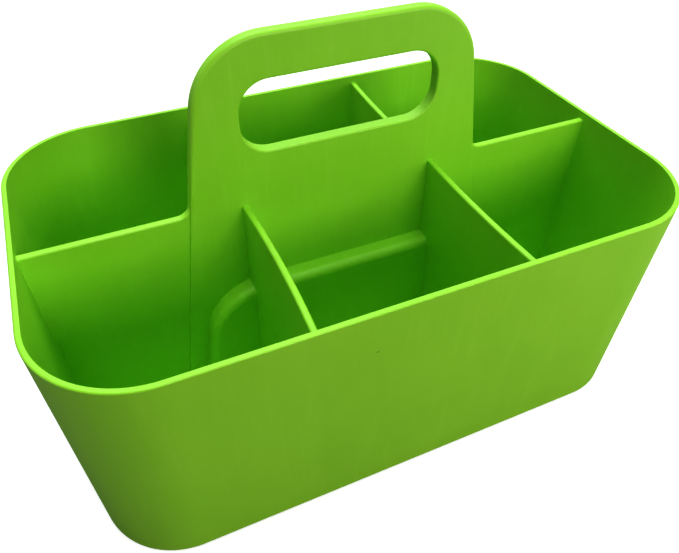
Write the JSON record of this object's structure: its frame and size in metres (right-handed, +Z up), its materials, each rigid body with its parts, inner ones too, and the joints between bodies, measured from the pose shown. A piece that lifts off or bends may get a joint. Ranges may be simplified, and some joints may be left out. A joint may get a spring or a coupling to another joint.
{
  "type": "cleaning caddy",
  "caption": "Open plastic tub with leaning walls and round corners, divided into compartments, with an upright centre panel that ends in a carrying handle.",
  "frame": {"origin": "middle of the base, on the surface the caddy stands on", "axes": "+X along the long side, +Y from the front to the rear, +Z up"},
  "size_m": [0.29, 0.18, 0.192],
  "materials": {
    "lime_plastic": "satin moulded polypropylene with a very fine texture"
  },
  "bodies": {
    "root": {"tub": "lime_plastic", "stacking_socket": "lime_plastic", "handle_panel": "lime_plastic", "left_partition": "lime_plastic", "right_partition": "lime_plastic", "front_left_divider": "lime_plastic", "front_right_divider": "lime_plastic", "rear_left_divider": "lime_plastic", "rear_right_divider": "lime_plastic"}
  },
  "joints": []
}
